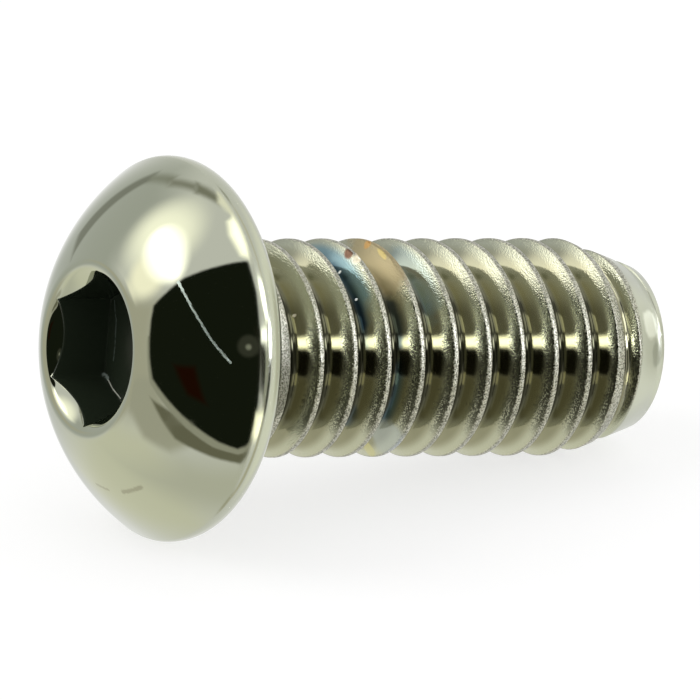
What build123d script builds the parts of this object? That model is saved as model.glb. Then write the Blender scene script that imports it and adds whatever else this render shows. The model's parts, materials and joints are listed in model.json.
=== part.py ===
from build123d import *
import math
import os

# Button head socket cap screw, 5/16-18 UNC by 3/4 inch, lying on a table the way it comes to rest:
# on the rounded rim of its head and on the last full crest of its thread.
# All sizes are in millimetres and degrees.

# ---- Driving dimensions -------------------------------------------------------------------------

# Rolled inch thread
pitch = 1.4111  # 18 threads to the inch
major_diameter = 7.74
thread_angle = 60.0
crest_share = 1 / 8  # flat on the crest, as a share of the pitch
root_share = 1 / 6  # flat in the root, as a share of the pitch
thread_start = 1.53  # first full groove, from the bearing face
runout_turn = 0.33  # part of a turn over which the groove rises out of the shank

# Shank, from the bearing face to the end of the point
shank_length = 18.3
point_length = 2.8
point_diameter = 5.9
neck_bevel = 0.3

# Domed head
head_diameter = 13.62
dome_radius = 8.0
dome_apex_height = 4.69  # of the whole sphere, before the socket is sunk into it
rim_round = 0.45  # between the dome and the edge of the rim
seat_round = 0.74  # between the edge of the rim and the bearing face

# Hexagon socket
socket_across_flats = 4.77
socket_floor_height = 1.76  # left between the hexagon's floor and the bearing face
socket_clocking = -8.0  # turn of the hexagon against the top of the lying screw
lip_margin = 0.18  # how far the bevelled lip reaches outside the hexagon's corners
floor_cone_depth = 0.65
floor_cone_margin = 0.2

# ---- Sizes that follow --------------------------------------------------------------------------

crest_flat = pitch * crest_share
root_flat = pitch * root_share
flank_slope = math.tan(math.radians(thread_angle / 2))
major_radius = major_diameter / 2
groove_half_width = (pitch - crest_flat) / 2
groove_depth = (groove_half_width - root_flat / 2) / flank_slope
overcut = crest_flat / 3  # how far the thread cutter stands out of the shank
groove_count = math.ceil((shank_length - thread_start) / pitch)

head_radius = head_diameter / 2
dome_centre = dome_radius - dome_apex_height
rim_top = dome_centre - math.sqrt(dome_radius**2 - head_radius**2)
point_start = shank_length - point_length

socket_inner_radius = socket_across_flats / 2
socket_corner_radius = socket_across_flats / math.sqrt(3)
lip_radius = socket_corner_radius + lip_margin
lip_top = dome_centre - math.sqrt(dome_radius**2 - lip_radius**2)
pilot_radius = socket_inner_radius - lip_margin
pilot_floor = lip_top + lip_radius - pilot_radius  # the lip is bevelled at 45 degrees


# ---- Thread cutters, wound on the screw's own axis Z -----------------------------------------------
def groove_section(plane):
    """Section of the groove between two crests, on a plane that holds the screw's axis."""
    mouth = groove_half_width + overcut * flank_slope
    with BuildSketch(plane) as section:
        with BuildLine():
            Polyline(
                (major_radius + overcut, mouth),
                (major_radius - groove_depth, root_flat / 2),
                (major_radius - groove_depth, -root_flat / 2),
                (major_radius + overcut, -mouth),
                close=True,
            )
        make_face()
    return section.sketch


# One full turn, which starts on +X and climbs one pitch.
with BuildPart() as groove_turn:
    with BuildLine() as full_path:
        Helix(pitch, pitch, major_radius)
    sweep(sections=groove_section(Plane.XZ), path=full_path.line, is_frenet=True)

# The run-out starts on -X and winds back towards the head on a cone, until it has left the shank.
# Helix measures its pitch along the slope of that cone.
runout_rise = pitch * runout_turn
runout_cone = math.atan((groove_depth + overcut) / runout_rise)
runout_plane = Plane(origin=(0, 0, 0), x_dir=(-1, 0, 0), z_dir=(0, 1, 0))
with BuildPart() as groove_runout:
    with BuildLine() as rising_path:
        Helix(
            pitch / math.cos(runout_cone),
            runout_rise,
            major_radius,
            direction=(0, 0, -1),
            cone_angle=math.degrees(runout_cone),
        )
    sweep(sections=groove_section(runout_plane), path=rising_path.line, is_frenet=True)

# ---- The screw in its turning frame: bearing face at zero, head below, point above -----------------
with BuildPart() as turned:
    # Half section of the blank: pilot, bevelled lip, dome, rim, bearing face, shank and point.
    with BuildSketch(Plane.XZ) as half_section:
        with BuildLine():
            Polyline((0, shank_length), (0, pilot_floor), (pilot_radius, pilot_floor))
            Line((pilot_radius, pilot_floor), (lip_radius, lip_top))
            RadiusArc((lip_radius, lip_top), (head_radius, rim_top), -dome_radius)
            Polyline((head_radius, rim_top), (head_radius, 0), (major_radius, 0))
            Polyline((major_radius, 0), (major_radius, point_start), (point_diameter / 2, shank_length))
            Line((point_diameter / 2, shank_length), (0, shank_length))
        make_face()
        chamfer(half_section.vertices().sort_by_distance((major_radius, 0))[0], neck_bevel)
        fillet(half_section.vertices().sort_by_distance((head_radius, rim_top))[0], rim_round)
        fillet(half_section.vertices().sort_by_distance((head_radius, 0))[0], seat_round)
    revolve(axis=Axis.Z)

    # Hexagon socket down to its floor, and the shallow cone that the punch leaves under it.
    with BuildSketch(Plane.XY.offset(-dome_apex_height)):
        RegularPolygon(socket_corner_radius, 6, rotation=socket_clocking)
    extrude(amount=dome_apex_height - socket_floor_height, mode=Mode.SUBTRACT)
    with Locations((0, 0, -socket_floor_height)):
        Cone(
            socket_inner_radius - floor_cone_margin,
            0,
            floor_cone_depth,
            align=(Align.CENTER, Align.CENTER, Align.MIN),
            mode=Mode.SUBTRACT,
        )

    # Thread: the run-out, then full turns until the point is thinner than the root.
    with Locations((0, 0, thread_start)):
        add(groove_runout.part, mode=Mode.SUBTRACT)
    half_turn = (0, 0, 180)
    starts = [thread_start + pitch * turn for turn in range(groove_count)]
    with Locations(*[Location((0, 0, start), half_turn) for start in starts]):
        add(groove_turn.part, mode=Mode.SUBTRACT)

# ---- Laid down on the round of the rim's seat edge and on the far edge of the last full crest --------
# The table touches the round, whose centre is one seat_round in from the rim and from the bearing face.
crests_before_point = math.floor((point_start - thread_start) / pitch - 0.5)
last_crest = thread_start + pitch * (crests_before_point + 0.5)
reach_along = last_crest + crest_flat / 2 + seat_round
reach_down = head_radius - seat_round - major_radius
lean = math.atan2(reach_down, reach_along) + math.asin(seat_round / math.hypot(reach_along, reach_down))
lying = Plane(
    origin=(0, 0, 0),
    x_dir=(math.sin(lean), 0, math.cos(lean)),
    z_dir=(math.cos(lean), 0, -math.sin(lean)),
)
with BuildPart() as leaning:
    with Locations(lying):
        add(turned.part)

# The origin is on the table, under the middle of the screw.
reach = leaning.part.bounding_box()
with BuildPart() as button_head_screw:
    with Locations((-reach.center().X, -reach.center().Y, -reach.min.Z)):
        add(leaning.part)
button_head_screw.part.label = "button_head_screw"

os.makedirs("parts", exist_ok=True)
export_step(button_head_screw.part, "parts/button_head_screw.step")
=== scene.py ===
"""A button head socket cap screw, polished all over, lying on its side on a pale table.

The screw is one forged and rolled piece, so its skin is one closed mesh. It is worked out in the
screw's own coordinates, which are a distance along the axis, a radius and a turn about the axis,
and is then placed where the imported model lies. Lengths are in millimetres until they are placed.
"""
import json
import logging
import math
from dataclasses import dataclass, field
from enum import Enum

import bpy
import numpy as np
from bpy.types import Material, Mesh, NodeSocket, NodeTree, Object, World
from mathutils import Matrix, Vector


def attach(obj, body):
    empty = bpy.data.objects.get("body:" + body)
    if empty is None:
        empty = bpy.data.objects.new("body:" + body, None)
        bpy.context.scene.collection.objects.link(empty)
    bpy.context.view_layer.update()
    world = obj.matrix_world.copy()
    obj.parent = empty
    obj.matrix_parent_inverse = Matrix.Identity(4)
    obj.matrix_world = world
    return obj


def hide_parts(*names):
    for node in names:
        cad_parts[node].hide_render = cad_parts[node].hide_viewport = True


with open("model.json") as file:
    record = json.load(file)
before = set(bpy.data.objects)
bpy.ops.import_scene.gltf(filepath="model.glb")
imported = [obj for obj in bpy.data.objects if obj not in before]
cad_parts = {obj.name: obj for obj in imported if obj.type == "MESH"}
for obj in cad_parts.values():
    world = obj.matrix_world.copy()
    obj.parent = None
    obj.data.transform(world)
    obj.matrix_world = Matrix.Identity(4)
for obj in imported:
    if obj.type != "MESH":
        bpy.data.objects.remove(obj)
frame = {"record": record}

MM = 0.001
FULL_TURN = 2 * math.pi
SIXTH = FULL_TURN / 6
COLUMNS = 264  # around the screw, a multiple of six so that the hexagon's corners fall on columns
MAP_NAME = "unrolled"  # the skin's map: whole turns about the axis by lengths of it
MAP_LENGTH = 20.0
HEIGHT_NAME = "height"  # the skin's attribute: the share of the thread's height
HEIGHT_OFF_THREAD = 0.7
END_GAP = 0.01  # a vertex of the thread this near to either end joins the ring there

log = logging.getLogger("screw")
Array = np.ndarray
Colour = tuple[float, float, float, float]
Pair = tuple[float, float]


def linear(hex_colour: str) -> Colour:
    """Turns an sRGB hex value into linear red, green, blue and alpha.

    Args:
        hex_colour: Six hex digits, such as "C8C8C4".

    Returns:
        Linear colour with an alpha of one.
    """
    parts = [int(hex_colour[i:i + 2], 16) / 255 for i in (0, 2, 4)]
    line = [c / 12.92 if c <= 0.04045 else ((c + 0.055) / 1.055) ** 2.4 for c in parts]
    return (line[0], line[1], line[2], 1.0)


# ---- Where the screw lies ----
@dataclass(frozen=True)
class Axis:
    """The screw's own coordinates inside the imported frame."""

    seat: Array  # centre of the bearing face, in metres
    along: Array  # unit vector from the head to the point
    up: Array  # unit vector square to it, as nearly up as it lets it be
    across: Array  # unit vector square to both, a quarter turn on

    @classmethod
    def from_record(cls, shank_length: float) -> "Axis":
        """Reads the axis from the mount on the point's end face.

        Args:
            shank_length: Distance from the bearing face to that mount.

        Returns:
            The axis of the lying screw.
        """
        mounts = {m["name"]: m for m in frame["record"]["mounts"]}
        point = mounts["point_face"]
        along = np.array(point["axis"], float)
        along /= np.linalg.norm(along)
        seat = np.array(point["pos_m"], float) - shank_length * MM * along
        up = np.array((0.0, 0.0, 1.0)) - along[2] * along
        up /= np.linalg.norm(up)
        return cls(seat, along, up, np.cross(along, up))

    @property
    def lean(self) -> float:
        """Angle by which the axis dips towards the point, in radians."""
        return -math.asin(self.along[2])

    def place(self, along: Array, radius: Array, turn: Array) -> Array:
        """Turns screw coordinates into places in the frame.

        A point is the seat, plus the distance along the axis, plus the radius times
        (cosine of the turn times up, plus sine of the turn times across).

        Args:
            along: Distances from the bearing face.
            radius: Radii.
            turn: Turns about the axis, in radians from the upward direction.

        Returns:
            Places in metres, with one more dimension of length three.
        """
        outward = np.cos(turn)[..., None] * self.up + np.sin(turn)[..., None] * self.across
        return self.seat + MM * (along[..., None] * self.along + radius[..., None] * outward)


# ---- The form of the screw ----
class Zone(Enum):
    """Parts of the skin with a finish of their own, by their place in the list of materials."""

    SOCKET = 0
    HEAD = 1
    THREAD = 2


@dataclass(frozen=True)
class Round:
    """A round between two straight runs, and the number of points that draw it."""

    radius: float
    points: int

    def arc(self, before: Array, corner: Array, after: Array) -> Array:
        """Rounds a corner in the (along, radius) plane.

        The arc's centre lies on the line that halves the corner, at the radius over the sine
        of half the angle between the runs, and its points turn evenly about it.

        Args:
            before: A point on the run that comes in.
            corner: The sharp corner.
            after: A point on the run that leaves.

        Returns:
            Array of (along, radius) rows, in the direction of travel.
        """
        back = (before - corner) / np.linalg.norm(before - corner)
        out = (after - corner) / np.linalg.norm(after - corner)
        half = math.acos(float(np.clip(back @ out, -1, 1))) / 2
        middle = (back + out) / np.linalg.norm(back + out)
        centre = corner + middle * self.radius / math.sin(half)
        first = corner + back * self.radius / math.tan(half) - centre
        last = corner + out * self.radius / math.tan(half) - centre
        share = np.linspace(0, 1, self.points)[:, None]
        span = math.pi - 2 * half
        turned = np.sin((1 - share) * span) * first + np.sin(share * span) * last
        return centre + turned / math.sin(span)


@dataclass(frozen=True)
class Socket:
    """Hexagon socket with its shallow floor cone and the edge where its wall meets the lip."""

    across_flats: float = 4.77
    floor: float = -1.76
    cone_depth: float = 0.65
    cone_margin: float = 0.2
    cone_shares: tuple[float, ...] = (0.1, 0.5, 0.96, 1.02)
    clocking: float = -8.0  # degrees from the upward direction to a corner
    corner_round: float = 0.10
    foot_round: float = 0.08
    foot_steps: tuple[Pair, ...] = ((0.5, 0.0625), (0.15, 0.15), (0.0625, 0.5))
    wall_shares: tuple[float, ...] = (0.5, 0.96)
    lip_margin: float = 0.18
    edge_reach: float = 0.04
    edge_steps: tuple[float, ...] = (-1.0, -0.4, 0.15, 0.5)

    @property
    def corner_radius(self) -> float:
        """Radius of the circle through the hexagon's sharp corners."""
        return self.across_flats / math.sqrt(3)

    @property
    def lip_radius(self) -> float:
        """Radius at which the bevelled lip would meet the dome."""
        return self.corner_radius + self.lip_margin

    def wall_radius(self, turn: Array) -> Array:
        """Radius of the hexagon's wall.

        A flat's radius is half the width across flats over the cosine of the turn from the
        flat's middle. Near a corner it is held back by a quarter of the corner's round.

        Args:
            turn: Turns about the axis, in radians.

        Returns:
            Radius of the wall at each turn.
        """
        own = turn - math.radians(self.clocking)
        from_corner = np.abs((own + SIXTH / 2) % SIXTH - SIXTH / 2)
        flat = self.across_flats / 2 / np.cos(SIXTH / 2 - from_corner)
        near = np.clip(1 - from_corner * self.corner_radius / self.corner_round, 0, 1)
        return flat - self.corner_round / 4 * near**2

    def rings(self, turn: Array, lip_top: float) -> Array:
        """Rings of the floor, the wall and the lip's inner edge, from the inside out.

        The floor is a shallow cone, then a flat that grows into the hexagon, and a small round
        at the wall's foot. The lip is a cone at 45 degrees, so its depth grows as its radius
        shrinks, and the edge between wall and lip is eased by a parabola.

        Args:
            turn: Turns of the columns.
            lip_top: Place along the axis at which the lip would meet the dome.

        Returns:
            Array of rings by columns by (along, radius).
        """
        wall = self.wall_radius(turn)
        cone = self.across_flats / 2 - self.cone_margin
        edge = lip_top + self.lip_radius - wall
        foot = self.floor - self.foot_round
        rings = [(self.floor + self.cone_depth * max(1 - s, 0), cone * s) for s in self.cone_shares]
        for inset, lift in ((1, 0), *self.foot_steps, (0, 1)):
            rings += [(self.floor - lift * self.foot_round, wall - inset * self.foot_round)]
        rings += [(foot + s * (edge + self.edge_reach - foot), wall) for s in self.wall_shares]
        for step in self.edge_steps:
            ease = self.edge_reach * (1 - abs(step)) ** 2 / 4
            outside = max(step, 0) * self.edge_reach
            rings += [(edge - step * self.edge_reach + ease, wall + outside + ease)]
        pairs = [np.broadcast_arrays(along, radius, wall)[:2] for along, radius in rings]
        return np.array([np.stack(pair, 1) for pair in pairs])


@dataclass(frozen=True)
class Head:
    """Domed head, from the socket's lip over the rim to the neck."""

    radius: float = 6.804
    dome_radius: float = 8.0
    apex_height: float = 4.69
    lip_round: Round = Round(0.42, 7)
    rim_round: Round = Round(0.45, 7)
    seat_round: Round = Round(0.74, 10)
    neck_round: Round = Round(0.3, 6)
    dome_rings: int = 30
    face_rings: int = 6

    @property
    def dome_centre(self) -> float:
        """Place of the dome's centre along the axis."""
        return self.dome_radius - self.apex_height

    def dome(self, radius: float) -> float:
        """Place along the axis of the dome's surface at a radius."""
        return self.dome_centre - math.sqrt(self.dome_radius**2 - radius**2)

    def tangent(self, radius: float) -> Array:
        """Direction of the dome's outline at a radius, away from the socket."""
        return np.array((radius / math.sqrt(self.dome_radius**2 - radius**2), 1.0))

    def rings(self, lip_radius: float, neck_radius: float) -> tuple[Array, Array]:
        """Rings of the lip's round, the dome, the rim, the bearing face and the neck.

        Each is a circle. The outline is the lip's cone at 45 degrees, its round, the dome's
        circle, the two rounds of the rim, the flat bearing face and the round into the shank.

        Args:
            lip_radius: Radius at which the lip would meet the dome.
            neck_radius: Radius of the shank.

        Returns:
            Rings by (along, radius), of the crown and then of the bearing face and the neck.
        """
        lip = np.array((self.dome(lip_radius), lip_radius))
        rim = np.array((self.dome(self.radius), self.radius))
        seat = np.array((0.0, self.radius))
        neck = np.array((0.0, neck_radius))
        lip_arc = self.lip_round.arc(lip + (1, -1), lip, lip + self.tangent(lip_radius))
        rim_arc = self.rim_round.arc(rim - self.tangent(self.radius), rim, seat)
        seat_arc = self.seat_round.arc(rim, seat, neck)
        neck_arc = self.neck_round.arc(seat, neck, neck + (1, 0))
        ends = [math.asin(r / self.dome_radius) for r in (lip_arc[-1, 1], rim_arc[0, 1])]
        sweep = np.linspace(*ends, self.dome_rings)[1:-1]
        dome = self.dome_radius * np.stack((-np.cos(sweep), np.sin(sweep)), 1)
        crown = np.concatenate((lip_arc, dome + (self.dome_centre, 0), rim_arc, seat_arc))
        face = np.linspace(seat_arc[-1], neck_arc[0], self.face_rings)[1:-1]
        return crown, np.concatenate((face, neck_arc))


@dataclass(frozen=True)
class Thread:
    """Rolled 60 degree thread on a plain shank, with the cone point that it runs out over."""

    pitch: float = 1.4111
    major_radius: float = 3.87
    crest_share: float = 1 / 8
    root_share: float = 1 / 6
    start: float = 1.53  # the groove reaches its full depth here
    fade_turn: float = 0.33  # share of a turn over which it does
    crest_blend: float = 0.035
    crest_most: float = 0.2  # share of the flank that the easing of a crest's corner may take
    crest_steps: tuple[float, ...] = (-1, -0.4, 0.4, 1)
    root_blend: float = 0.10
    root_most: float = 0.4
    root_steps: tuple[float, ...] = (-0.5, 0, 0.6)
    thinnest_flank: float = 0.02
    length: float = 18.3
    point_length: float = 2.8
    point_radius: float = 2.95
    end_round: Round = Round(0.06, 6)
    end_shares: tuple[float, ...] = (0.95, 0.5, 0.05)
    first: float = 0.45  # the helical grid starts here, on the plain neck
    last: float = 18.2  # and ends here, on the plain end of the cone point

    @property
    def flank(self) -> float:
        """Distance along the axis that a flank covers for each unit of its height."""
        return math.tan(math.radians(30))

    @property
    def depth(self) -> float:
        """Depth of the full groove."""
        return self.pitch * (1 - self.crest_share - self.root_share) / 2 / self.flank

    @property
    def cone_start(self) -> float:
        """Place along the axis where the shank turns into the cone point."""
        return self.length - self.point_length

    @property
    def cone_slope(self) -> float:
        """How fast the point's radius shrinks along the axis."""
        return (self.major_radius - self.point_radius) / self.point_length

    def blank_radius(self, along: Array) -> Array:
        """Radius of the shank before the thread is rolled: a cylinder and then a cone."""
        return self.major_radius - self.cone_slope * np.maximum(along - self.cone_start, 0)

    def grid(self, turns: Array) -> tuple[Array, Array, int]:
        """The helical part of the shank, as rows that climb one pitch a turn.

        A row keeps its place in the groove's section, so crests and roots run exactly along
        rows. The radius is the section's trapezoid cut by the blank's own radius. Each corner
        is eased by a parabola: the change of slope times the square of what is left of its
        reach, over four times that reach. The groove's depth fades in over part of a turn.

        Args:
            turns: Turns of the columns, with the first one repeated a full turn on.

        Returns:
            Place along the axis and radius, rows by columns, and the number of rows to a pitch.
        """
        flat = self.pitch * self.root_share / 2
        groove = np.arange(-1, math.ceil((self.length - self.start) / self.pitch) + 2)[:, None]
        wound = turns[None, :] + groove * FULL_TURN - math.pi
        centre = self.start + self.pitch * wound / FULL_TURN
        depth = self.depth * np.clip(1 + wound / (self.fade_turn * FULL_TURN), 0, 1)
        root = self.major_radius - depth
        cone = self.major_radius - self.cone_slope * (centre - self.cone_start)
        height = cone - root + flat / self.flank
        full = flat + np.maximum(depth * self.flank, self.thinnest_flank)
        least = flat + self.thinnest_flank
        left = -np.clip(height / (1 / self.flank - self.cone_slope), least, full)
        right = np.clip(height / (1 / self.flank + self.cone_slope), least, full)
        room = np.minimum(-left, right) - flat
        crest = np.minimum(self.crest_blend, self.crest_most * room)
        base = np.minimum(self.root_blend, self.root_most * room)
        rows = [0 * centre - self.pitch / 2]
        rows += [left + step * crest for step in self.crest_steps]
        rows += [(left + crest - flat - base) / 2, -flat - base]
        rows += [step * base - flat for step in self.root_steps]
        rows += [0 * centre]
        rows += [flat - step * base for step in reversed(self.root_steps)]
        rows += [flat + base, (right - crest + flat + base) / 2]
        rows += [right + step * crest for step in self.crest_steps]
        across = np.stack(rows, 1)
        fitted = (centre, root, left, right, crest, base)
        centre, root, left, right, crest, base = (a[:, None, :] for a in fitted)
        along = centre + across
        radius = root + np.maximum(np.abs(across) - flat, 0) / self.flank
        radius = np.minimum(radius, self.blank_radius(along))
        bends = ((-flat, base, 1), (flat, base, 1), (left, crest, -1), (right, crest, -1))
        for corner, reach, bend in bends:
            left_over = np.maximum(reach - np.abs(across - corner), 0)
            radius = radius + bend * left_over**2 / (4 * reach * self.flank)
        radius = np.minimum(radius, self.blank_radius(along))
        shape = (-1, across.shape[2])
        return along.reshape(shape), radius.reshape(shape), across.shape[1]

    def end_rings(self) -> Array:
        """Rings of the point's end: the small round of its edge and the flat end face.

        Returns:
            Array of rings by (along, radius), the last one just short of the middle.
        """
        corner = np.array((self.length, self.point_radius))
        before = np.array((self.last, float(self.blank_radius(self.last))))
        edge = self.end_round.arc(before, corner, np.array((self.length, 0.0)))
        face = np.array([(self.length, share * self.point_radius) for share in self.end_shares])
        return np.concatenate((edge, face))


@dataclass
class ScrewSkin:
    """The screw's whole surface, from the middle of the socket's floor to that of its end."""

    axis: Axis
    socket: Socket = Socket()
    head: Head = Head()
    thread: Thread = Thread()
    points: list[Array] = field(default_factory=list)  # (along, radius, turn) of the vertices
    faces: list[Array] = field(default_factory=list)
    zones: list[Array] = field(default_factory=list)

    @property
    def turns(self) -> Array:
        """Turns of the columns, with the first one repeated a full turn on."""
        return math.radians(self.socket.clocking) + FULL_TURN * np.arange(COLUMNS + 1) / COLUMNS

    def add_points(self, along: Array, radius: Array, turn: Array) -> Array:
        """Adds vertices and gives their numbers.

        Args:
            along: Places along the axis.
            radius: Radii.
            turn: Turns about the axis.

        Returns:
            Vertex numbers, in the shape of the arguments.
        """
        along, radius, turn = np.broadcast_arrays(along, radius, turn)
        first = sum(len(block) for block in self.points)
        self.points.append(np.stack((along.ravel(), radius.ravel(), turn.ravel()), 1))
        return np.arange(first, first + along.size).reshape(along.shape)

    def add_band(self, rows: Array, ahead: Array, zone: Zone) -> None:
        """Adds the faces between rows, and leaves out corners that have fallen together.

        Args:
            rows: Vertex numbers, rows by columns.
            ahead: The same rows' numbers one column on.
            zone: Finish of the faces.
        """
        corners = (rows[:-1], ahead[:-1], ahead[1:], rows[1:])
        quads = np.stack([a.ravel() for a in corners], 1)
        near = quads[:, 0] == quads[:, 3]
        far = quads[:, 1] == quads[:, 2]
        whole = (~near & ~far, (0, 1, 2, 3))
        for kept, used in (whole, (near & ~far, (0, 1, 2)), (far & ~near, (0, 1, 3))):
            if kept.any():
                self.faces.append(quads[kept][:, used])
                self.zones.append(np.full(int(kept.sum()), zone.value))

    def add_rings(self, rings: Array, before: Array | None, zone: Zone) -> Array:
        """Adds closed rings one after the other.

        Args:
            rings: Rings by (along, radius), or rings by columns by (along, radius).
            before: Vertex numbers of the row that the first ring joins, or None.
            zone: Finish of the faces.

        Returns:
            Vertex numbers of the last ring.
        """
        if rings.ndim == 2:
            rings = np.repeat(rings[:, None, :], COLUMNS, axis=1)
        numbers = self.add_points(rings[..., 0], rings[..., 1], self.turns[None, :-1])
        rows = numbers if before is None else np.concatenate((before[None, :], numbers))
        self.add_band(rows, np.roll(rows, -1, axis=1), zone)
        return rows[-1]

    def add_pole(self, along: float, ring: Array, closes: bool, zone: Zone) -> None:
        """Closes the surface at the axis with a fan of triangles.

        Args:
            along: Place of the pole on the axis.
            ring: Vertex numbers of the ring next to it.
            closes: True where the ring comes before the pole, False where it follows.
            zone: Finish of the faces.
        """
        number = self.add_points(np.array(along), np.array(0.0), np.array(0.0))
        pole = np.full(COLUMNS, int(number))
        ahead = np.roll(ring, -1)
        fan = (ring, ahead, pole) if closes else (pole, ahead, ring)
        self.faces.append(np.stack(fan, 1))
        self.zones.append(np.full(COLUMNS, zone.value))

    def add_thread(self, before: Array) -> Array:
        """Adds the helical grid between the neck and the end of the point.

        Vertices past either end fall together on the ring there. One column past the last is
        the first column again, one pitch further up.

        Args:
            before: Vertex numbers of the neck's last ring.

        Returns:
            Vertex numbers of the ring at the end of the point.
        """
        t = self.thread
        along, radius, per_pitch = t.grid(self.turns)
        along, radius = along[:, :-1], radius[:, :-1]
        first = self.add_rings(np.array([(t.first, t.major_radius)]), before, Zone.THREAD)
        end = np.array(t.last)
        last = self.add_points(end, t.blank_radius(end), self.turns[:-1])
        short = along < t.last - END_GAP
        inside = (along > t.first + END_GAP) & short
        numbers = np.where(short, first[None, :], last[None, :])
        turn = np.broadcast_to(self.turns[None, :-1], along.shape)
        numbers[inside] = self.add_points(along[inside], radius[inside], turn[inside])
        wrapped = np.full(len(numbers), last[0])
        wrapped[:-per_pitch] = numbers[per_pitch:, 0]
        ahead = np.concatenate((numbers[:, 1:], wrapped[:, None]), 1)
        self.add_band(numbers, ahead, Zone.THREAD)
        return last

    def unroll(self, turn: Array, on_axis: Array) -> Array:
        """Keeps faces from spanning the seam of the map.

        A corner more than half a turn behind its face's furthest one is moved a full turn on,
        and a corner on the axis takes the furthest one's turn.

        Args:
            turn: Turns of the corners, face by face.
            on_axis: Whether each corner lies on the axis.

        Returns:
            Turns of the corners.
        """
        sizes = np.concatenate([np.full(len(block), block.shape[1]) for block in self.faces])
        starts = np.concatenate(((0,), np.cumsum(sizes)[:-1]))
        own = np.where(on_axis, -FULL_TURN, turn)
        most = np.repeat(np.maximum.reduceat(own, starts), sizes)
        return np.where(on_axis, most, own + FULL_TURN * (most - own > math.pi))

    def mesh(self) -> Mesh:
        """Welds everything into one closed mesh.

        Returns:
            The mesh, with its attribute of the thread's height and its unrolled map.
        """
        s, h, t = self.socket, self.head, self.thread
        row = self.add_rings(s.rings(self.turns[:-1], h.dome(s.lip_radius)), None, Zone.SOCKET)
        self.add_pole(s.floor + s.cone_depth, np.arange(COLUMNS), False, Zone.SOCKET)
        crown, neck = h.rings(s.lip_radius, t.major_radius)
        row = self.add_rings(crown, row, Zone.HEAD)
        row = self.add_rings(neck, row, Zone.THREAD)
        row = self.add_thread(row)
        row = self.add_rings(t.end_rings(), row, Zone.THREAD)
        self.add_pole(t.length, row, True, Zone.THREAD)
        along, radius, turn = np.concatenate(self.points).T
        places = self.axis.place(along, radius, turn)
        faces = [face for block in self.faces for face in block.tolist()]
        mesh = bpy.data.meshes.new("button_head_screw_skin")
        mesh.from_pydata(places.tolist(), [], faces)
        mesh.polygons.foreach_set("material_index", np.concatenate(self.zones).astype(np.int32))
        mesh.polygons.foreach_set("use_smooth", np.ones(len(mesh.polygons), bool))
        rolled = 1 - (t.blank_radius(along) - radius) / t.depth
        height = np.where((along > t.first) & (along < t.last), rolled, HEIGHT_OFF_THREAD)
        attribute = mesh.attributes.new(HEIGHT_NAME, "FLOAT", "POINT")
        attribute.data.foreach_set("value", height.astype(np.float32))
        corners = np.concatenate([block.ravel() for block in self.faces])
        turned = self.unroll(turn[corners], radius[corners] <= 0)
        unrolled = np.stack((turned / FULL_TURN, along[corners] / MAP_LENGTH), 1)
        layer = mesh.uv_layers.new(name=MAP_NAME)
        layer.uv.foreach_set("vector", unrolled.ravel().astype(np.float32))
        mesh.update()
        return mesh


# ---- Node trees ----
@dataclass(frozen=True)
class Kind:
    """A kind of node, as the materials and the studio use it."""

    type: str  # after the word that all of them start with
    settings: dict[str, str] = field(default_factory=dict)
    inputs: tuple[str, ...] = ()  # identifiers of those that are fed, if not simply the first
    output: str = ""  # identifier of the one that is used, if not the first


class Node(Enum):
    """The kinds of node that there are."""

    ADD = Kind("Math", {"operation": "ADD"})
    SUBTRACT = Kind("Math", {"operation": "SUBTRACT"})
    MULTIPLY = Kind("Math", {"operation": "MULTIPLY"})
    DIVIDE = Kind("Math", {"operation": "DIVIDE"})
    MINIMUM = Kind("Math", {"operation": "MINIMUM"})
    MAXIMUM = Kind("Math", {"operation": "MAXIMUM"})
    ABSOLUTE = Kind("Math", {"operation": "ABSOLUTE"})
    SQRT = Kind("Math", {"operation": "SQRT"})
    WRAP = Kind("Math", {"operation": "WRAP"})
    ARCCOSINE = Kind("Math", {"operation": "ARCCOSINE"})
    OFFSET = Kind("VectorMath", {"operation": "SUBTRACT"})
    DOT = Kind("VectorMath", {"operation": "DOT_PRODUCT"}, output="Value")
    DISTANCE = Kind("VectorMath", {"operation": "DISTANCE"}, output="Value")
    SCALE = Kind("VectorMath", {"operation": "SCALE"}, ("Vector", "Scale"))
    STEP = Kind("MapRange", {"interpolation_type": "SMOOTHSTEP"})
    MIX = Kind("Mix", {"data_type": "RGBA"}, ("Factor_Float", "A_Color", "B_Color"), "Result_Color")
    NOISE = Kind("TexNoise", inputs=("Vector", "Scale", "Detail"))
    PLACE = Kind("TexCoord", output="Object")
    SIGHT = Kind("TexCoord", output="Generated")
    MAP = Kind("UVMap", {"uv_map": MAP_NAME})
    PARTS = Kind("SeparateXYZ")
    HEIGHT = Kind("Attribute", {"attribute_name": HEIGHT_NAME}, output="Fac")
    RAYS = Kind("LightPath")
    BUMP = Kind("Bump", inputs=("Distance", "Height"))
    METAL = Kind(
        "BsdfPrincipled", {}, ("Base Color", "Metallic", "Roughness", "Normal", "Specular IOR Level")
    )
    MATT = Kind("BsdfDiffuse")
    GLOW = Kind("Emission")
    BOTH = Kind("AddShader")
    BACKGROUND = Kind("Background")
    MATERIAL = Kind("OutputMaterial")
    WORLD = Kind("OutputWorld")


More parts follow.
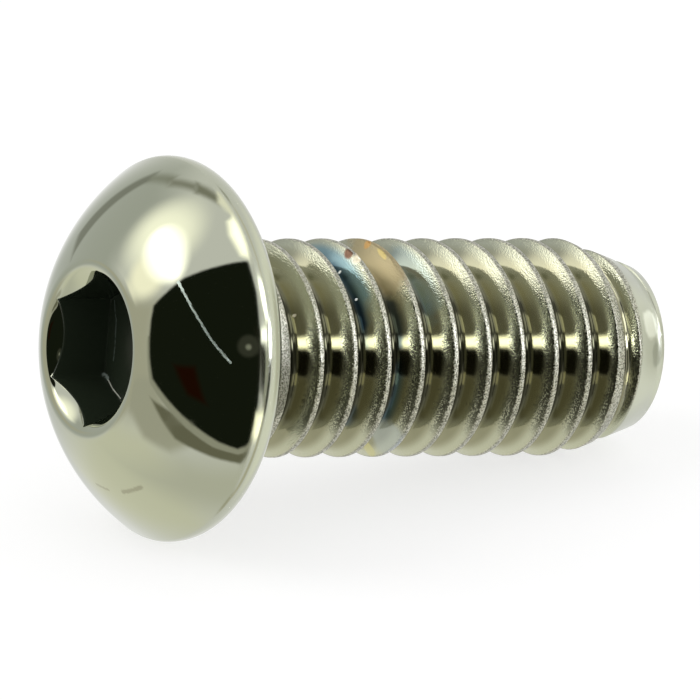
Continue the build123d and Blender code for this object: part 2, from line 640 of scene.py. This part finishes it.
class Tree:
    """A node tree under construction."""

    def __init__(self, tree: NodeTree) -> None:
        """Empties the tree.

        Args:
            tree: The node tree of a material or a world.
        """
        self.tree = tree
        tree.nodes.clear()

    def add(self, node: Node, *values: object, **settings: object) -> NodeSocket | None:
        """Adds a node with its settings and its links.

        Args:
            node: Its kind.
            values: What goes into its inputs in their order, as sockets or as values.
            settings: Names and values of more properties.

        Returns:
            The output that its kind uses, if it has one.
        """
        kind = node.value
        made = self.tree.nodes.new("ShaderNode" + kind.type)
        for name, value in (kind.settings | settings).items():
            setattr(made, name, value)
        fed = [i for i in made.inputs if not kind.inputs or i.identifier in kind.inputs]
        for socket, value in zip(fed, values):
            if isinstance(value, NodeSocket):
                self.tree.links.new(value, socket)
            else:
                socket.default_value = value
        return next((o for o in made.outputs if kind.output in ("", o.identifier)), None)


# ---- Finishes ----
DETAIL = 3.0  # finer layers of a noise
SPECK_DETAIL = 1.0
MIDDLE = 0.5  # what a noise lies around
EDGE_SIZE = 0.12  # millimetres, the raggedness of a scratch's edge
EDGE_MIDDLE = 0.45  # the noise there that leaves the edge in place
SCRATCH_CORE = 0.3  # share of a scratch's width that shows in full
# spots are patches of tint, and a few of painted highlight and painted shade
SPOT_CORE = 0.6  # share of a film's reach that shows in full
SPOT_FADE = 0.4  # share of the thread's height over which a film fades below its top


@dataclass(frozen=True)
class Plating:
    """Plating over steel, with its grain."""

    name: str  # of the material
    colour: str  # hex value of what it throws back straight on
    roughness: float  # of its smooth parts
    grain_size: float
    grain_depth: float
    metallic: float = 1.0  # nought where it is no metal to the eye
    specular: float = 0.5  # level of the reflection there


@dataclass(frozen=True)
class Spot:
    """A patch of colour: where heat or handling has tinted or torn the steel, and in a few, painted
    highlight and painted shade.
    """

    middle: Pair  # place along the axis and turn about it, in degrees
    reach: Pair  # the same two ways
    colour: str
    strength: float  # how strongly it shows
    roughness: float = 0.0  # what it adds to the steel's
    top: float | None = None  # share of the thread's height where it has faded out, if it does


@dataclass(frozen=True)
class Scratch:
    """A fine mark in the polish."""

    width: float
    colour: str
    roughness: float  # what it adds
    strength: float  # how strongly it shows
    path: tuple[tuple[float, float, float], ...]  # (along, radius, turn in degrees)


# tints, burrs and specks, then painted shade on the neck, a painted highlight on the point and a grey
# patch near its end
SPOTS = (
    Spot((5.45, 14), (0.6, 46), "7799A8", 0.85, top=0.95),
    Spot((5.25, 34), (0.48, 50), "34495A", 0.95, top=0.56),
    Spot((6.95, 12), (0.66, 40), "A39778", 0.95, 0.3),
    Spot((6.8, 58), (0.36, 26), "2E3A42", 0.9, top=0.6),
    Spot((8.15, 24), (0.7, 40), "8FA2A6", 0.6, top=1.05),
    Spot((7, 106), (0.36, 32), "52748C", 0.85, top=0.5),
    Spot((7.42, 138), (0.5, 17), "A6B0B8", 0.5),
    Spot((5.62, 126), (0.3, 14), "4A5F72", 0.8, top=0.4),
    Spot((7.54, 160), (0.22, 6), "C4BF88", 0.6, 0.15),
    Spot((7.03, -3), (0.12, 3.4), "C89E62", 0.85, 0.1),
    Spot((7.08, 11), (0.06, 6), "CDBB7C", 0.7, 0.1),
    Spot((5.68, 11), (0.11, 4.2), "74503F", 0.9, 0.25),
    Spot((5.77, 18), (0.14, 3.6), "F4EEDC", 0.95, 0.5),
    Spot((6.02, 15), (0.26, 2.6), "EADFC9", 0.8, 0.4),
    Spot((5.34, 15.8), (0.045, 1.1), "F4F6F6", 1, 0.6),
    Spot((5.43, 40.3), (0.045, 1.1), "F4F6F6", 1, 0.6),
    Spot((2.65, 51.5), (0.05, 1.2), "DFD8CC", 0.9, 0.6),
    # painted shade on the neck next to the head
    Spot((1.75, 88), (0.36, 34), "4A4B3F", 0.6),
    # painted highlight on the point
    Spot((17.64, 58), (0.46, 11), "EDF0E6", 0.8),
    # a grey patch near the point's end
    Spot((17.9, 78), (0.28, 12), "9A9D90", 0.85),
)
HEAD_SCRATCHES = (
    Scratch(0.085, "DDEDE8", 0.4, 1, (
        (-3.02, 4.892, 44.4), (-2.87, 5.08, 55.4), (-2.59, 5.403, 65.9), (-2.35, 5.654, 71.6),
        (-1.96, 6.019, 77.3))),
    Scratch(0.1, "7E7A6A", 0.12, 0.45, ((-3.02, 4.892, 176), (-2.95, 4.981, 168))),
    Scratch(0.14, "7E7A6A", 0.12, 0.5, (
        (-2.9, 5.043, 158), (-2.88, 5.068, 151), (-2.86, 5.092, 145))),
)
# marks in the socket: key scratches, and painted glints along the floor's edge drawn the same way
SOCKET_SCRATCHES_AND_GLINTS = (
    Scratch(0.035, "D8DACB", 0.1, 1, (
        (-1.8, 2.66, -130), (-1.76, 2.57, -133.1), (-1.77, 2.47, -141.8), (-1.76, 2.32, -156.2))),
    Scratch(0.11, "9DAAA2", 0.1, 0.8, ((-1.82, 2.69, -127), (-1.76, 2.57, -131))),
    Scratch(0.05, "566058", 0.1, 0.7, (
        (-1.76, 2.55, -65.5), (-1.72, 2.1, -78), (-1.71, 2.02, -88.7), (-1.73, 2.08, -118.8))),
    Scratch(0.12, "A4A69A", 0.2, 0.9, ((-4, 2.8, -72), (-3.84, 2.66, -83))),
)


class Steel:
    """Plated steel that is painted layer by layer, on the screw's own coordinates."""

    def __init__(self, plating: Plating, axis: Axis) -> None:
        """Starts the material with its plating.

        Args:
            plating: The plating.
            axis: Where the screw lies.
        """
        self.axis = axis
        self.plating = plating
        self.material = bpy.data.materials.new(plating.name)
        self.material.use_nodes = True
        self.tree = t = Tree(self.material.node_tree)
        self.colour: object = linear(plating.colour)
        self.roughness: object = plating.roughness
        self.place = t.add(Node.SCALE, t.add(Node.PLACE), 1 / MM)
        unrolled = t.add(Node.PARTS, t.add(Node.MAP)).node.outputs
        self.turn = t.add(Node.MULTIPLY, unrolled["X"], 360.0)
        self.along = t.add(Node.MULTIPLY, unrolled["Y"], MAP_LENGTH)
        self.height = t.add(Node.HEIGHT)

    def turn_from(self, middle: float) -> NodeSocket:
        """Turn about the axis from another one, in degrees, whichever way it goes."""
        turned = self.tree.add(Node.SUBTRACT, self.turn, middle)
        return self.tree.add(Node.ABSOLUTE, self.tree.add(Node.WRAP, turned, 180.0, -180.0))

    def lay(self, shown: NodeSocket, colour: object, roughness: float = 0.0) -> None:
        """Lays a colour over what there is, and roughens it.

        Args:
            shown: How much of the colour shows.
            colour: The colour, linear or as a socket.
            roughness: Roughness that it adds.
        """
        t = self.tree
        self.colour = t.add(Node.MIX, shown, self.colour, colour)
        if roughness:
            self.roughness = t.add(Node.ADD, self.roughness, t.add(Node.MULTIPLY, shown, roughness))

    def lay_spot(self, spot: Spot, ragged: NodeSocket) -> None:
        """Lays a spot of colour over the steel, with a ragged edge.

        A place's share of the reach is the square root of the sum of both shares squared.

        Args:
            spot: The patch.
            ragged: Noise that moves its edge, around nought.
        """
        t = self.tree
        about = t.add(Node.DIVIDE, self.turn_from(spot.middle[1]), spot.reach[1])
        along = t.add(Node.SUBTRACT, self.along, spot.middle[0])
        along = t.add(Node.DIVIDE, along, spot.reach[0])
        squares = (t.add(Node.MULTIPLY, offset, offset) for offset in (about, along))
        share = t.add(Node.ADD, t.add(Node.SQRT, t.add(Node.ADD, *squares)), ragged)
        shown = t.add(Node.STEP, share, 1.0, SPOT_CORE, 0.0, spot.strength)
        if spot.top is not None:
            low = t.add(Node.STEP, self.height, spot.top, spot.top - SPOT_FADE)
            shown = t.add(Node.MULTIPLY, shown, low)
        self.lay(shown, linear(spot.colour), spot.roughness)

    def lay_scratch(self, scratch: Scratch) -> None:
        """Draws a scratch.

        The nearest place on a straight piece is the product with the piece's direction, held
        between its ends.

        Args:
            scratch: The scratch.
        """
        t = self.tree
        along, radius, turn = np.array(scratch.path).T
        points = self.axis.place(along, radius, np.radians(turn)) / MM
        nearest = None
        for first, second in zip(points, points[1:]):
            run = second - first
            offset = t.add(Node.OFFSET, self.place, tuple(first))
            share = t.add(Node.DOT, offset, tuple(run / (run @ run)))
            share = t.add(Node.MAXIMUM, t.add(Node.MINIMUM, share, 1.0), 0.0)
            away = t.add(Node.DISTANCE, offset, t.add(Node.SCALE, tuple(run), share))
            nearest = away if nearest is None else t.add(Node.MINIMUM, away, nearest)
        noise = t.add(Node.NOISE, self.place, 1 / EDGE_SIZE, DETAIL)
        ragged = t.add(Node.MULTIPLY, t.add(Node.SUBTRACT, noise, EDGE_MIDDLE), scratch.width)
        away = t.add(Node.ADD, nearest, ragged)
        core = SCRATCH_CORE * scratch.width
        shown = t.add(Node.STEP, away, scratch.width, core, 0.0, scratch.strength)
        self.lay(shown, linear(scratch.colour), scratch.roughness)

    def grain(self) -> NodeSocket:
        """Relief of the plating's own grain, in millimetres."""
        noise = self.tree.add(Node.NOISE, self.place, 1 / self.plating.grain_size, DETAIL)
        return self.tree.add(Node.MULTIPLY, noise, self.plating.grain_depth)

    def finish(self, relief: NodeSocket) -> Material:
        """Joins the colour, the roughness and the relief to the shader.

        Args:
            relief: Relief in millimetres.

        Returns:
            The material.
        """
        t, p = self.tree, self.plating
        normal = t.add(Node.BUMP, MM, relief)
        shader = t.add(Node.METAL, self.colour, p.metallic, self.roughness, normal, p.specular)
        t.add(Node.MATERIAL, shader)
        return self.material


@dataclass(frozen=True)
class ShadedSocketFinish:
    """Punched inside of the socket, painted nearly black as the shade in its recess.

    Its dark colour is painted shade, with a weak sheen, a few bright marks from the key and
    painted glints along the floor's edge. It is no mirror and is given a weak reflection in place
    of a metal's.
    """

    # the nearly black colour is painted shade in the socket's recess
    plating: Plating = Plating("socket_steel_painted_shade", "2A3226", 0.22, 0.20, 0.002, 0.0, 0.3)

    def make(self, axis: Axis) -> Material:
        """Makes the material.

        Args:
            axis: Where the screw lies.

        Returns:
            The material.
        """
        steel = Steel(self.plating, axis)
        for scratch in SOCKET_SCRATCHES_AND_GLINTS:
            steel.lay_scratch(scratch)
        return steel.finish(steel.grain())


@dataclass(frozen=True)
class HeadFinish:
    """Bright plating over the polished head.

    To the eye it is a warm grey mirror, with duller patches, a worn rim, a scratch and smudges.
    """

    plating: Plating = Plating("polished_head_steel", "B4B7A6", 0.03, 0.30, 0.0004)
    dull_size: float = 2.4
    dull_span: Pair = (0.62, 0.80)  # of the noise
    dull_roughness: float = 0.16
    rim_span: Pair = (-1.25, -0.95)  # along the axis
    rim_roughness: float = 0.14

    def make(self, axis: Axis) -> Material:
        """Makes the material.

        Args:
            axis: Where the screw lies.

        Returns:
            The material.
        """
        steel = Steel(self.plating, axis)
        t, p = steel.tree, steel.plating
        patches = t.add(Node.NOISE, steel.place, 1 / self.dull_size, DETAIL)
        dull = t.add(Node.STEP, patches, *self.dull_span)
        polish = t.add(Node.STEP, dull, 0.0, 1.0, p.roughness, self.dull_roughness)
        rim = t.add(Node.STEP, steel.along, *self.rim_span, 0.0, self.rim_roughness)
        steel.roughness = t.add(Node.ADD, polish, rim)
        for scratch in HEAD_SCRATCHES:
            steel.lay_scratch(scratch)
        return steel.finish(steel.grain())


@dataclass(frozen=True)
class ThreadFinish:
    """Bright plating over the rolled thread, the bearing face and the point.

    To the eye the flanks are mirrors, and the crests sparkle because rolling leaves them sandy.
    Painted shade darkens the groove, less on its upper side, and darkens the root and the flanks
    near the crests about one turn. Heat has tinted a few turns, and painted shade lies on the neck
    and a painted highlight on the point. The grain is drawn as coarse as it needs to be to show.
    """

    plating: Plating = Plating("rolled_thread_steel", "B4B6A5", 0.08, 0.055, 0.016)
    thread_span: Pair = (1.2, 1.7)  # along the axis
    point_span: Pair = (17.0, 17.15)
    point_colour: str = "B7BAAD"
    point_roughness: float = 0.22
    # painted shade: the groove's colour darkens from near the crest down to the root
    groove_shade_span: Pair = (0.84, 0.44)  # of the thread's height
    groove_shade_colour: str = "8D8C77"
    # painted light: the groove's painted shade is lighter about this turn, on the screw's upper side
    groove_lit_turn: float = 8.0
    groove_lit_span: Pair = (44.0, 24.0)  # degrees from that turn
    groove_lit_colour: str = "ABAA94"
    # painted shade: the root of the groove is darkened over this share of the height, in this colour
    root_shade_span: Pair = (0.16, 0.0)
    painted_shade_colour: str = "36362A"
    # painted shade: a dark band on the flanks near the crests, about this turn
    shade_turn: float = 92.0
    shade_span: Pair = (40.0, 22.0)
    shade_height: Pair = (0.62, 0.84)
    shade_strength: float = 0.9
    crest_span: Pair = (0.93, 0.99)
    crest_ragged: float = 0.16
    crest_roughness: float = 0.42
    crest_dark: str = "6A6B5F"
    crest_bright: str = "C3C2B5"
    sparkle_span: Pair = (-0.12, 0.12)  # of the grain
    sand_span: Pair = (0.42, 0.95)
    sand_relief: Pair = (0.03, 1.0)  # shares of the grain's depth below and above it
    film_size: float = 0.6
    spot_ragged: float = 0.7

    def make(self, axis: Axis) -> Material:
        """Makes the material.

        Args:
            axis: Where the screw lies.

        Returns:
            The material.
        """
        steel = Steel(self.plating, axis)
        t, p, height = steel.tree, steel.plating, steel.height
        noise = t.add(Node.NOISE, steel.place, 1 / p.grain_size, SPECK_DETAIL)
        specks = t.add(Node.SUBTRACT, noise, MIDDLE)
        point = t.add(Node.STEP, steel.along, *self.point_span)
        threaded = t.add(Node.STEP, steel.along, *self.thread_span)
        threaded = t.add(Node.MULTIPLY, threaded, t.add(Node.SUBTRACT, 1.0, point))
        crest = t.add(Node.ADD, height, t.add(Node.MULTIPLY, specks, self.crest_ragged))
        crest = t.add(Node.MULTIPLY, t.add(Node.STEP, crest, *self.crest_span), threaded)
        steel.roughness = t.add(Node.STEP, crest, 0.0, 1.0, p.roughness, self.crest_roughness)

        # painted shade in the groove, painted lighter where the groove faces upward
        upward = t.add(Node.STEP, steel.turn_from(self.groove_lit_turn), *self.groove_lit_span)
        groove = t.add(Node.MIX, upward, linear(self.groove_shade_colour), linear(self.groove_lit_colour))
        steel.lay(t.add(Node.STEP, height, *self.groove_shade_span), groove)
        steel.lay(point, linear(self.point_colour), self.point_roughness)

        # painted shade on the flanks near the crests, about shade_turn
        facing = steel.turn_from(self.shade_turn)
        shade = t.add(Node.STEP, facing, *self.shade_span, 0.0, self.shade_strength)
        upper = t.add(Node.STEP, t.add(Node.ADD, height, specks), *self.shade_height)
        shade = t.add(Node.MULTIPLY, t.add(Node.MULTIPLY, shade, threaded), upper)
        steel.lay(shade, linear(self.painted_shade_colour))
        sparkle = t.add(Node.STEP, specks, *self.sparkle_span)
        sparkle = t.add(Node.MIX, sparkle, linear(self.crest_dark), linear(self.crest_bright))
        steel.lay(crest, sparkle)

        noise = t.add(Node.NOISE, steel.place, 1 / self.film_size, DETAIL)
        ragged = t.add(Node.MULTIPLY, t.add(Node.SUBTRACT, noise, MIDDLE), self.spot_ragged)
        # tints and marks, with painted shade on the neck and a painted highlight on the point
        for spot in SPOTS:
            steel.lay_spot(spot, ragged)
        # painted shade darkening the root of the groove
        steel.lay(t.add(Node.STEP, height, *self.root_shade_span), linear(self.painted_shade_colour))

        sandy = t.add(Node.STEP, height, *self.sand_span, *self.sand_relief)
        sandy = t.add(Node.MULTIPLY, sandy, threaded)
        grain = t.add(Node.MULTIPLY, specks, p.grain_depth)
        return steel.finish(t.add(Node.MULTIPLY, grain, sandy))


# ---- Studio ----
@dataclass(frozen=True)
class Card:
    """A far card, lamp or opening of the light tent, as the screw sees it, in degrees.

    Its places are the corners of a convex outline, the middle of a round one or both foci of an
    oval. Each is a bearing, which is nought towards the camera and grows to the right, and a
    height above the camera's line.
    """

    name: str
    colour: str
    level: float  # brightness, where one is the tent's own white
    edge: float  # width of its soft edge
    places: tuple[Pair, ...]
    radius: float | None = None  # of a round one, or half of an oval's length


CARDS = (
    Card("tent, shaded side", "D3D6D2", 1, 22, (
        (-170, -8), (-150, 52), (-110, 58), (-96, 20), (-96, -10), (-130, -12))),
    Card("tent, warm lower side", "F4F3E2", 1.12, 22, (
        (-155, -16), (-100, -18), (-75, -35), (-75, -62), (-150, -62))),
    Card("tent, side by the opening", "D9D6C6", 1, 14, ((-116, 14), (-58, 22), (-58, -30), (-100, -20))),
    Card("tent, under the opening", "D2D0C2", 1, 6, (
        (-79, -11), (-60, -13), (-53, -46), (-70, -46), (-81, -36))),
    Card("tent, lower front", "EAEADE", 1, 24, (
        (-108, -42), (-66, -50), (0, -60), (10, -84), (-108, -80))),
    Card("tent, right side", "FFFFF6", 1.25, 24, ((72, 40), (135, 45), (135, -50), (75, -45))),
    Card("fold of the tent on the right", "ECECDD", 1, 16, ((112, 2),), 20),
    Card("hole over the tent", "C0C2B4", 1, 7, ((-145, 85),), 6.5),
    Card("shadow under the screw", "CCC9B4", 1, 10, ((-165, -84),), 9),
    Card("halo of the lamp", "FFFDF0", 1.95, 15.7, ((-92, 47), (-68, 47)), 16.7),
    Card("glow below the lamp", "FFFAE8", 1.85, 8, ((-72, 31),), 10),
    Card("lamp", "FFFDF6", 3.6, 6, ((-85, 47), (-54, 33.5)), 15.5),
    Card("seam, rising", "A0A29A", 1, 3, ((-152, 16), (-148, 41), (-142.5, 42), (-142.5, 16))),
    Card("seam, bending", "B0B2A8", 1, 3.5, ((-147, 40), (-137, 53), (-131, 51.5), (-142, 41))),
    Card("seam, bending over", "ABABA0", 1, 3.5, ((-136, 51), (-120, 64.5), (-108, 65), (-128, 53))),
    Card("seam, over the lamp", "A0A092", 1, 3, (
        (-122, 64), (-108, 69.5), (-84, 73), (-68, 71), (-106, 65))),
    Card("gap, far end", "FFFCEC", 1.5, 2.5, (
        (-98, 74.5), (-34, 70.5), (-34, 67.5), (-50, 69.8), (-72, 71.3), (-96, 72.8))),
    Card("gap above the opening", "FFFCEC", 3, 4.5, (
        (-36, 69), (-26, 66), (-11, 54), (-10, 46), (-16, 48), (-29, 58), (-38, 65))),
    Card("curtain below the opening", "8C8A76", 0.9, 2.5, (
        (-64, -22), (-60, -42), (-42, -54), (-22, -60.5), (-10, -58), (-5, -45))),
    Card("curtain's bright hem", "BDBCAE", 1, 1.5, (
        (-62, 5), (-62.5, -15), (-52, -34), (-37, -49.5), (-21, -55), (-6, -52), (-2, -30), (-2, 5))),
    Card("opening for the camera", "1F241A", 0.9, 2, (
        (-61.5, 24), (-48, 33), (-36, 42), (-26, 45), (-11, 44.5), (-4, 28), (-2, 5), (-2, -30),
        (-9, -49), (-20, -52), (-34, -46), (-49, -31), (-60.5, -14))),
    Card("opening, far side", "2E2D23", 0.9, 5, ((-4, 10), (64, 6), (66, -36), (50, -36), (0, -27))),
    Card("screen on the right", "EDE9D4", 1, 6, ((46, 22), (64, 16), (68, 70), (110, 82), (20, 82))),
    Card("table's edge on the right", "DEDAC4", 1, 6, (
        (46, -38), (67, -36), (112, -64), (175, -80), (80, -84), (58, -70))),
    Card("side of the tent by the lens", "BFC0B4", 1, 6, ((8, 20), (45, 20), (45, -30), (16, -30))),
    Card("strip lamp", "F2F3FF", 26, 8, ((45, 10), (62, 10), (62, -1), (45, -1))),
    Card("upper lamp by the lens", "FFFFFA", 4, 2.5, ((0, 36), (46, 36), (47, 16), (22, 15), (3, 24))),
    Card("lower lamp by the lens", "FFFFFA", 4, 2.5, ((-1, 10), (26, 11), (26, 3), (-1, 3))),
    Card("low lamp", "FFFBE4", 3, 3, ((-4, -33), (45, -34), (45, -50), (-6, -46))),
    Card("something red", "2A1206", 0.9, 4, ((-47, -8), (-36, -9), (-33, -27), (-42, -22))),
    Card("the camera's lens", "484A40", 0.9, 2.5, ((-8, 1),), 5.5),
    Card("glint in the lens", "A8AA9C", 0.9, 2, ((-8, 0.5),), 1.3),
)


def grey(level: float) -> Colour:
    """Linear grey of a brightness, with an alpha of one."""
    return (level, level, level, 1.0)


@dataclass(frozen=True)
class Studio:
    """A white light tent with an opening towards the camera, a pale table and a soft lamp."""

    view: Array  # the camera's right, up and backward directions, as rows
    matt_level: float = 0.75  # brightness of the tent as matt surfaces see it
    table_half: float = 1.5  # half the table's side, in metres
    table_grey: float = 0.36
    table_glow: float = 0.72  # makes it white to whoever sees it, outside the screw's shadow
    lamp_strength: float = 0.6
    lamp_width: float = 40.0  # degrees that it spans, which softens its shadow
    lamp_place: Pair = (-70.0, 43.0)  # bearing and height, in degrees

    def direction(self, bearing: float, height: float) -> Array:
        """Direction from the screw, in the frame.

        Args:
            bearing: Degrees to the right of the camera.
            height: Degrees above the camera's line.

        Returns:
            Unit vector.
        """
        turn, rise = math.radians(bearing), math.radians(height)
        level = math.cos(rise)
        own = np.array((math.sin(turn) * level, math.sin(rise), math.cos(turn) * level))
        return own @ self.view

    def add_mask(self, tree: Tree, sight: NodeSocket, card: Card) -> NodeSocket:
        """Adds nodes that are one inside a card and nought outside.

        Each edge is part of a great circle, so a direction's height over it is its product with
        that circle's normal, and an outline is where it lies above every edge. A round or oval
        card is where the angles from its foci come to less than its length.

        Args:
            tree: The world's tree.
            sight: The direction that is seen.
            card: The card.

        Returns:
            The mask.
        """
        places = [self.direction(*place) for place in card.places]
        if card.radius is not None:
            away: object = 0.0
            for focus in places:
                toward = tree.add(Node.DOT, sight, tuple(focus))
                away = tree.add(Node.ADD, away, tree.add(Node.ARCCOSINE, toward))
            ends = (card.radius + card.edge / 2, card.radius - card.edge / 2)
            return tree.add(Node.STEP, away, *(len(places) * math.radians(end) for end in ends))
        middle = np.mean(places, axis=0)
        soft = math.sin(math.radians(card.edge / 2))
        least: object = 1.0
        for first, second in zip(places, places[1:] + places[:1]):
            normal = np.cross(first, second)
            normal *= np.sign(normal @ middle) / np.linalg.norm(normal)
            above = tree.add(Node.DOT, sight, tuple(normal))
            least = tree.add(Node.MINIMUM, above, least)
        return tree.add(Node.STEP, least, -soft, soft)

    def add_seen(self, tree: Tree) -> tuple[NodeSocket, bpy.types.bpy_prop_collection]:
        """Adds nodes that are one where something is seen, straight on, in a gloss or in glass.

        Args:
            tree: The tree of the world or of the table.

        Returns:
            Their value, and the outputs that tell the kinds of ray apart.
        """
        rays = tree.add(Node.RAYS).node.outputs
        seen = tree.add(Node.ADD, rays["Is Camera Ray"], rays["Is Glossy Ray"])
        seen = tree.add(Node.ADD, seen, rays["Is Transmission Ray"], use_clamp=True)
        return seen, rays

    def make_world(self) -> World:
        """Makes the tent as the world that reflections see, and plain white behind the screw.

        Returns:
            The world.
        """
        world = bpy.data.worlds.new("light_tent")
        world.use_nodes = True
        world.cycles.sampling_method = "NONE"
        bpy.context.scene.world = world
        tree = Tree(world.node_tree)
        sight = tree.add(Node.SIGHT)
        seen, rays = self.add_seen(tree)
        matt, white = grey(self.matt_level), grey(1.0)
        colour = tree.add(Node.MIX, seen, matt, white)
        for card in CARDS:
            tint = (*(card.level * part for part in linear(card.colour)[:3]), 1.0)
            mask = self.add_mask(tree, sight, card)
            mask.node.label = card.name
            colour = tree.add(Node.MIX, mask, colour, tint)
        colour = tree.add(Node.MIX, rays["Is Camera Ray"], colour, white)
        colour = tree.add(Node.MIX, rays["Is Diffuse Ray"], colour, matt)
        tree.add(Node.WORLD, tree.add(Node.BACKGROUND, colour))
        return world

    def make_table(self) -> Object:
        """Makes the pale table top, whose matt paint keeps the screw's shadow.

        Returns:
            The table's object, which isn't part of the screw.
        """
        half = self.table_half
        corners = [(-half, -half, 0), (half, -half, 0), (half, half, 0), (-half, half, 0)]
        mesh = bpy.data.meshes.new("table_top")
        mesh.from_pydata(corners, [], [(0, 1, 2, 3)])
        material = bpy.data.materials.new("pale_table")
        material.use_nodes = True
        tree = Tree(material.node_tree)
        seen, _ = self.add_seen(tree)
        matt = tree.add(Node.MATT, grey(self.table_grey))
        glow = tree.add(Node.GLOW, grey(1.0), tree.add(Node.MULTIPLY, seen, self.table_glow))
        tree.add(Node.MATERIAL, tree.add(Node.BOTH, matt, glow))
        mesh.materials.append(material)
        table = bpy.data.objects.new("table_top", mesh)
        bpy.context.scene.collection.objects.link(table)
        table.visible_glossy = False
        return table

    def make_lamp(self) -> Object:
        """Makes the lamp whose soft shadow lies under the screw.

        Returns:
            The lamp's object.
        """
        data = bpy.data.lights.new("soft_lamp", "SUN")
        data.energy = self.lamp_strength
        data.angle = math.radians(self.lamp_width)
        lamp = bpy.data.objects.new("soft_lamp", data)
        direction = Vector(self.direction(*self.lamp_place).tolist())
        lamp.rotation_mode = "QUATERNION"
        lamp.rotation_quaternion = direction.to_track_quat("Z", "Y")
        lamp.visible_glossy = False
        bpy.context.scene.collection.objects.link(lamp)
        return lamp


# ---- Camera ----
@dataclass(frozen=True)
class Camera:
    """A long lens, placed by how the screw's axis lies in the picture."""

    axis_turn: float = 32.83  # degrees between the axis and the picture's plane
    axis_rise: float = 0.30  # degrees by which the axis rises to the right
    distance: float = 740.0
    scale: float = 28.4  # picture elements to the millimetre, at that distance
    picture: float = 700.0
    seat_x: float = 185.75  # where the middle of the bearing face falls in the picture
    seat_y: float = 348.53
    sensor: float = 36.0
    nearest: float = 0.01  # metres between which it sees
    furthest: float = 100.0

    def make(self, axis: Axis) -> Array:
        """Makes the camera and sets it.

        The bearing and the height above the table follow from two conditions: the axis makes
        axis_turn with the picture's plane, and its image rises by axis_rise.

        Args:
            axis: Where the screw lies.

        Returns:
            The camera's right, up and backward directions, as rows.
        """
        turn, rise = math.radians(self.axis_turn), math.radians(self.axis_rise)
        bearing = math.acos(math.cos(turn) * math.cos(rise) / math.cos(axis.lean))
        level = math.cos(axis.lean) * math.sin(bearing)
        dip = math.sin(axis.lean)
        lift = math.cos(turn) * math.sin(rise)
        height = math.atan2(dip, level) + math.asin(lift / math.hypot(level, dip))
        right = np.array((math.cos(bearing), -math.sin(bearing), 0.0))
        flat = math.cos(height) * np.array((math.sin(bearing), math.cos(bearing), 0.0))
        view = flat - np.array((0.0, 0.0, math.sin(height)))
        up = np.cross(right, view)
        half = self.picture / 2
        aside = (half - self.seat_x) / self.scale
        above = (self.seat_y - half) / self.scale
        place = axis.seat + MM * (aside * right + above * up - self.distance * view)
        data = bpy.data.cameras.new("camera")
        data.sensor_width = self.sensor
        data.lens = self.sensor * self.distance * self.scale / self.picture
        data.clip_start = self.nearest
        data.clip_end = self.furthest
        camera = bpy.data.objects.new("camera", data)
        turned = Matrix(np.stack((right, up, -view), 1).tolist()).to_4x4()
        camera.matrix_world = Matrix.Translation(place.tolist()) @ turned
        bpy.context.scene.collection.objects.link(camera)
        bpy.context.scene.camera = camera
        log.info("%s: lens of %.0f mm", camera.name, data.lens)
        return np.stack((right, up, -view))


def build_screw(axis: Axis) -> Object:
    """Builds the skin, dresses it and puts it in the CAD solid's place.

    Args:
        axis: Where the screw lies.

    Returns:
        The skin's object.
    """
    skin = bpy.data.objects.new("button_head_screw_skin", ScrewSkin(axis).mesh())
    dresses = {Zone.SOCKET: ShadedSocketFinish(), Zone.HEAD: HeadFinish(), Zone.THREAD: ThreadFinish()}
    for zone in Zone:
        skin.data.materials.append(dresses[zone].make(axis))
    bpy.context.scene.collection.objects.link(skin)
    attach(skin, "root")
    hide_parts("button_head_screw")
    log.info("%s: %d vertices, %d faces", skin.name, len(skin.data.vertices), len(skin.data.polygons))
    return skin


def main() -> None:
    """Builds the camera, the screw and its studio."""
    logging.basicConfig(level=logging.INFO, format="%(name)s: %(message)s")
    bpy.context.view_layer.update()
    axis = Axis.from_record(Thread().length)
    studio = Studio(Camera().make(axis))
    build_screw(axis)
    for made in (studio.make_world(), studio.make_table(), studio.make_lamp()):
        log.info("%s: made", made.name)
    bpy.context.scene.view_settings.view_transform = "Standard"


if __name__ == "__main__":
    main()
